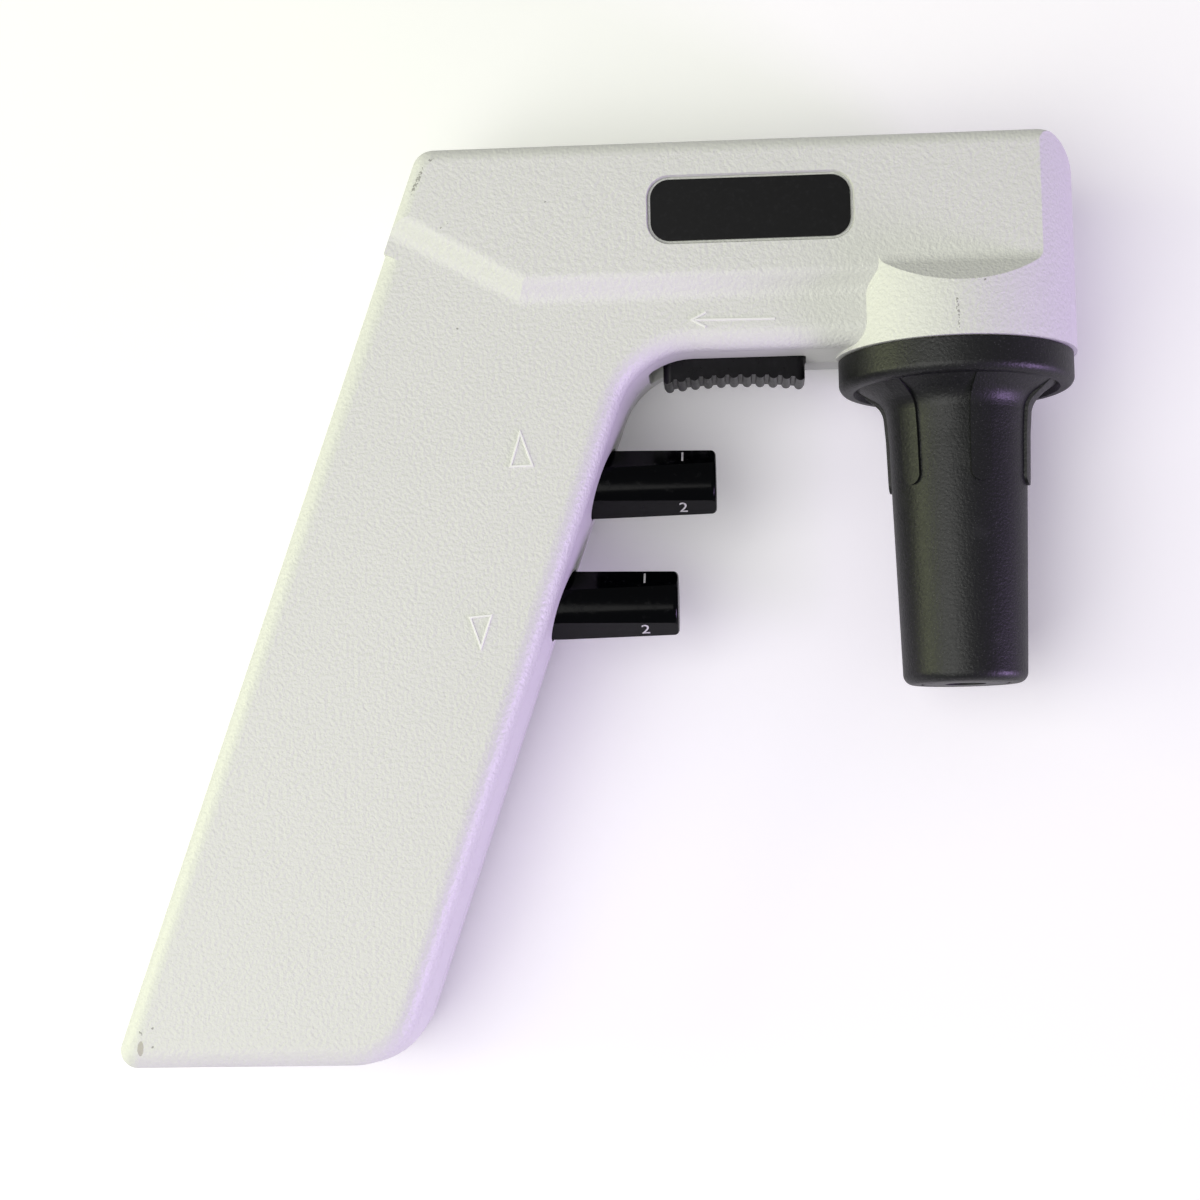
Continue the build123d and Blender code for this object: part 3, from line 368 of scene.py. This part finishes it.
# This pale grey is a painted highlight: it stands for light catching the lines' raised edges.
lit_line_highlight_grey = (0.82, 0.82, 0.80, 1.0)
marks_highlight_finish = Finish("housing_plastic_painted_highlight", Roughness=0.3, Base_Color=lit_line_highlight_grey)
above = grip_half * MM
top_edges = [edge for edge in mark_shape.edges if all(v.co.z > above for v in edge.verts)]
bends = [edge for edge in top_edges if edge.calc_face_angle(0.0) > sharp]
bmesh.ops.bevel(
    mark_shape,
    geom=bends,
    offset=line_bevel * MM,
    segments=2,
    profile=0.5,
    affect="EDGES",
    material=-1,
)
finished("moulded_marks", mark_shape, marks_highlight_finish, "housing")

# Six pan-head screws with a cross recess hold the covers together. They are driven from the far
# side into posts, and their plated steel heads sit at the bottom of deep wells.
seat_z = -9.0
ring_facets = 32
# Each ring is a radius and a height above the seat, from the head's rounded top to the tip.
screw_rings = (
    (2.05, -1.70),
    (2.34, -1.62),
    (2.53, -1.42),
    (2.60, -1.14),
    (2.60, 0.0),
    (1.25, 0.0),
    (1.25, 17.2),
    (0.60, 18.0),
)
cross_reach = 1.45
cross_half = 0.42
cross_depth = 1.05
cross_taper = 0.55
# Each screw is its x, its y and the angle that it was left at.
screw_turns = (
    (-152.0, -61.0, 12.0),
    (-114.0, -57.5, 58.0),
    (-121.0, 24.4, 35.0),
    (-71.2, 57.6, 80.0),
    (-98.0, 95.6, 3.0),
    (-15.0, 96.0, 47.0),
)


def edges_of(verts):
    """The edges that run between these vertices."""
    inside = set(verts)
    return [edge for edge in {e for v in verts for e in v.link_edges} if set(edge.verts) <= inside]


def ring(shape, radius, height, place, cap=False):
    """A level circle of edges on the screw's axis, closed by a face if cap is true."""
    matrix = place @ Matrix.Translation((0, 0, height * MM))
    made = bmesh.ops.create_circle(
        shape, cap_ends=cap, segments=ring_facets, radius=radius * MM, matrix=matrix
    )
    return edges_of(made["verts"])


def cross(shape, scale, height, place):
    """A level plus-shaped loop, the outline of the screw's recess."""
    arm = ((cross_reach, -cross_half), (cross_reach, cross_half), (cross_half, cross_half))
    corners = []
    for quarter in range(4):
        swing = Matrix.Rotation(quarter * pi / 2, 4, "Z")
        for x, y in arm:
            corner = Vector((x * scale * MM, y * scale * MM, height * MM))
            corners.append(place @ swing @ corner)
    verts = [shape.verts.new(corner) for corner in corners]
    return [shape.edges.new((verts[i - 1], verts[i])) for i in range(len(verts))]


def mottled(finish, scale, detail, darker, lighter, smoothest, spread):
    """The finish, its colour and roughness drifting together with one noise."""
    drift = finish.noise(scale, detail=detail)
    finish.set("Base Color", finish.blend(drift, (*darker, 1.0), (*lighter, 1.0)))
    finish.set("Roughness", smoothest + drift * spread)
    return finish


steel = mottled(
    Finish("steel", Metallic=1.0),
    scale=400.0,
    detail=3.0,
    darker=(0.56, 0.55, 0.53),
    lighter=(0.66, 0.65, 0.62),
    smoothest=0.24,
    spread=0.16,
)
screw_shape = bmesh.new()
head_top = screw_rings[0][1]
for x, y, angle in screw_turns:
    seat = Matrix.Translation((x * MM, y * MM, seat_z * MM))
    spot = seat @ Matrix.Rotation(radians(angle), 4, "Z")
    loops = [ring(screw_shape, radius, height, spot) for radius, height in screw_rings[:-1]]
    loops.append(ring(screw_shape, *screw_rings[-1], spot, cap=True))
    for first, second in zip(loops, loops[1:]):
        bmesh.ops.bridge_loops(screw_shape, edges=first + second)
    mouth = cross(screw_shape, 1.0, head_top, spot)
    floor = cross(screw_shape, cross_taper, head_top + cross_depth, spot)
    bmesh.ops.bridge_loops(screw_shape, edges=loops[0] + mouth)
    bmesh.ops.bridge_loops(screw_shape, edges=mouth + floor)
    bmesh.ops.edgeloop_fill(screw_shape, edges=floor)
screws = finished("cross_head_screws", screw_shape, steel, "housing")
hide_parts("housing_screws")

# The label is a satin black plate, glued into its recess on the viewer's cover. It carries no
# lettering here, only a little dust. The chips on the board inside are as dark.
label = Finish("label_black", Specular_IOR_Level=0.25)
film_of_dust = label.noise(1500.0, detail=3.0)


def dusted(finish, dust, clean, dusty):
    """Sets the finish's colour: clean where dust is 0, dusty where it is 1."""
    finish.set("Base Color", finish.blend(dust, (*clean, 1.0), (*dusty, 1.0)))


dusted(
    label,
    film_of_dust.ramp(0.5, 0.8) * 0.5,
    clean=(0.0025, 0.0025, 0.003),
    dusty=(0.011, 0.011, 0.013),
)
label.set("Roughness", 0.34 + film_of_dust * 0.18)
dress(label, "label_plate", "board_parts")

# The two trigger buttons are moulded in glossy black plastic. Fine scratches and dust dull their
# flats, and a number printed near the end of each flat tells the speed it is turned to.
gloss = Finish("button_gloss", Specular_IOR_Level=0.08)
scratch = gloss.noise(700.0, detail=3.0, rough=0.6)
dusted(
    gloss,
    scratch.ramp(0.62, 0.75) * 0.4,
    clean=(0.0006, 0.0008, 0.0012),
    dusty=(0.007, 0.007, 0.008),
)
gloss.set("Roughness", 0.14 + scratch.ramp(0.5, 0.8) * 0.2)
dress(gloss, "aspirate_button", "dispense_button")

ink = Finish("white_ink", Roughness=0.55)
wear = ink.noise(2500.0, detail=2.0).ramp(0.45, 0.7)
dusted(ink, wear, clean=(0.62, 0.62, 0.62), dusty=(0.38, 0.38, 0.38))
flat_depth = 5.6
digit_height = 5.0
digit_squeeze = 0.72
digit_rise = 0.03
digit_from_end = 6.4
first_flat = -53.0
flat_turn = 120.0
button_ends = {"aspirate": (-46.4, 40.0), "dispense": (-54.1, 16.75)}
for button, (end_x, axis_y) in button_ends.items():
    digits = bmesh.new()
    for count in range(3):
        lettering = bpy.data.curves.new("digit", "FONT")
        lettering.body = str(count + 1)
        lettering.align_x = "CENTER"
        lettering.align_y = "CENTER"
        lettering.size = digit_height * MM
        lettering.extrude = digit_rise / 2 * MM
        holder = bpy.data.objects.new("digit", lettering)
        flat_letter = bpy.data.meshes.new_from_object(holder)
        flat_letter.transform(Matrix.Diagonal((digit_squeeze, 1.0, 1.0, 1.0)))
        digit_x = (end_x - digit_from_end) * MM
        to_flat = Matrix.Translation((digit_x, 0.0, (flat_depth + digit_rise / 2) * MM))
        turned = Matrix.Rotation(radians(first_flat + flat_turn * count), 4, "X")
        axis = Matrix.Translation((0, axis_y * MM, 0))
        flat_letter.transform(axis @ turned @ to_flat)
        digits.from_mesh(flat_letter)
        bpy.data.meshes.remove(flat_letter)
        bpy.data.objects.remove(holder)
    finished(button + "_numbers", digits, ink, button + "_trigger")

# The mode slider is a smooth black moulding whose outer edge is a row of round finger ribs. It
# sits under the barrel and is pushed along by the thumb.
slider_gloss = Finish("black_plastic_polished", Specular_IOR_Level=0.22)
slider_fine = slider_gloss.noise(900.0, detail=3.0)
dusted(
    slider_gloss,
    slider_fine.ramp(0.5, 0.8) * 0.5,
    clean=(0.0022, 0.002, 0.003),
    dusty=(0.008, 0.0075, 0.010),
)
slider_gloss.set("Roughness", 0.22 + slider_fine * 0.16)
dress(slider_gloss, "mode_slider")

# The nose cone is moulded in black with a fine satin spark texture, worn a little grey on its
# ribs and rim. It screws into the boss by hand, on one shallow thread around its spigot.
black = Finish("black_plastic", Specular_IOR_Level=0.42)
fine = black.noise(1900.0, detail=2.0)
rubbed = black.noise(160.0, detail=3.0).ramp(0.55, 0.8)
# Sparse pale grey specks are painted highlights: the glints of the spark texture.
spark_glint_specks = black.noise(4200.0, detail=0.0).ramp(0.74, 0.78)
deep_black = (0.0022, 0.0026, 0.0030, 1.0)
rubbed_black = (0.010, 0.011, 0.011, 1.0)
spark_glint_grey = (0.09, 0.09, 0.09, 1.0)
spark_rise = 0.09 * MM
black_tone = black.blend(rubbed * 0.5, deep_black, rubbed_black)
black.set("Base Color", black.blend(spark_glint_specks * 0.4, black_tone, spark_glint_grey))
black.set("Roughness", 0.36 + fine * 0.16 + rubbed * 0.08)
black.set("Normal", black.bump(fine, spark_rise))
dress(black, "nose_cone", "nose_socket", "charge_jack", "pump_head")
dress(black, "aspirate_switch", "dispense_switch")

spigot_radius = 16.3
thread_pitch = 4.0
thread_rise = 0.15
thread_sink = 0.05
thread_half = 0.7
thread_low = 64.2
thread_turns = 1.25
steps_per_turn = 96
section = (
    (-thread_sink, -thread_half),
    (thread_rise, -thread_half / 3),
    (thread_rise, thread_half / 3),
    (-thread_sink, thread_half),
)
thread_shape = bmesh.new()
corners = []
for out, up in section:
    corner = Vector((spigot_radius + out, thread_low + up, 0.0)) * MM
    corners.append(thread_shape.verts.new(corner))
first_loop = [thread_shape.edges.new((corners[i - 1], corners[i])) for i in range(len(corners))]
spun = bmesh.ops.spin(
    thread_shape,
    geom=corners + first_loop,
    cent=(0, 0, 0),
    axis=(0, 1, 0),
    dvec=(0, thread_pitch / steps_per_turn * MM, 0),
    angle=thread_turns * 2 * pi,
    steps=int(thread_turns * steps_per_turn),
)
last_loop = [item for item in spun["geom_last"] if isinstance(item, bmesh.types.BMEdge)]
bmesh.ops.edgeloop_fill(thread_shape, edges=first_loop)
bmesh.ops.edgeloop_fill(thread_shape, edges=last_loop)
finished("nose_thread", thread_shape, black, "nose")

# A soft silicone holder inside the nose grips the pipette; it is dark. Silicone tubes, milky
# white, lead from the nose's nozzle and from the pump to the valves.
silicone = mottled(
    Finish("silicone", Subsurface_Weight=0.2, Subsurface_Scale=1.5 * MM),
    scale=250.0,
    detail=2.0,
    darker=(0.70, 0.70, 0.67),
    lighter=(0.78, 0.78, 0.76),
    smoothest=0.32,
    spread=0.2,
)
dress(silicone, "nose_tube", "suction_tube", "pressure_tube")
grip_silicone = Finish("silicone_dark", Roughness=0.45)
smoky = grip_silicone.noise(250.0, detail=2.0)
dusted(grip_silicone, smoky, clean=(0.012, 0.012, 0.013), dusty=(0.022, 0.022, 0.023))
dress(grip_silicone, "pipette_holder")

# The filter above it is a thin white membrane of matted fibres, welded into a disc shell of
# white plastic. The pump's frame, the valve blocks and the selectors are moulded in the same.
white = mottled(
    Finish("white_plastic"),
    scale=600.0,
    detail=3.0,
    darker=(0.74, 0.74, 0.72),
    lighter=(0.80, 0.80, 0.79),
    smoothest=0.34,
    spread=0.18,
)
dress(white, "filter_shell", "aspirate_selector", "dispense_selector", "valve_block")
dress(white, "vent_valve", "motor_cap", "crank", "connecting_rod", "pump_frame", "valve_plate")
membrane = Finish("membrane", Roughness=0.92)
fibres = membrane.noise(3000.0, detail=4.0, rough=0.7)
dusted(membrane, fibres, clean=(0.80, 0.80, 0.79), dusty=(0.88, 0.88, 0.87))
membrane.set("Normal", membrane.bump(fibres, 0.03 * MM))
dress(membrane, "filter_membrane")

# The seals on the nose, the stems and the spool are rings of black rubber, stretched into their
# grooves. The pump's diaphragm and its valve flaps are cut from the same rubber sheet.
rubber = mottled(
    Finish("black_rubber"),
    scale=500.0,
    detail=3.0,
    darker=(0.014, 0.014, 0.014),
    lighter=(0.028, 0.028, 0.028),
    smoothest=0.55,
    spread=0.2,
)
dress(rubber, "nose_seal", "aspirate_stem_seals", "dispense_stem_seals", "spool_seals")
dress(rubber, "reed_valves", "diaphragm")

# The stems, the vent spool and the nozzle are turned in brass and left bare. They have darkened
# unevenly where air and hands have reached them.
brass = mottled(
    Finish("brass", Metallic=1.0),
    scale=1800.0,
    detail=2.0,
    darker=(0.70, 0.50, 0.24),
    lighter=(0.80, 0.60, 0.32),
    smoothest=0.2,
    spread=0.16,
)
dress(brass, "aspirate_stem", "dispense_stem", "vent_spool", "air_nozzle")

# Springs, switch levers, the motor's can and shaft and the strap between the cells are plated
# steel, like the screws.
dress(steel, "aspirate_spring", "dispense_spring", "aspirate_lever", "dispense_lever")
dress(steel, "motor_can", "motor_shaft", "cell_strap")

# Two cells in a green shrink film fill the grip. The control board lies over the valves, under
# a coat of green resist.
wrap = mottled(
    Finish("cell_wrap", Coat_Weight=0.4, Coat_Roughness=0.1),
    scale=60.0,
    detail=2.0,
    darker=(0.018, 0.16, 0.075),
    lighter=(0.03, 0.22, 0.11),
    smoothest=0.24,
    spread=0.1,
)
dress(wrap, "rear_cell", "front_cell")
board = mottled(
    Finish("board_green", Coat_Weight=0.3, Coat_Roughness=0.2),
    scale=1500.0,
    detail=2.0,
    darker=(0.02, 0.16, 0.06),
    lighter=(0.035, 0.22, 0.09),
    smoothest=0.34,
    spread=0.12,
)
dress(board, "control_board")
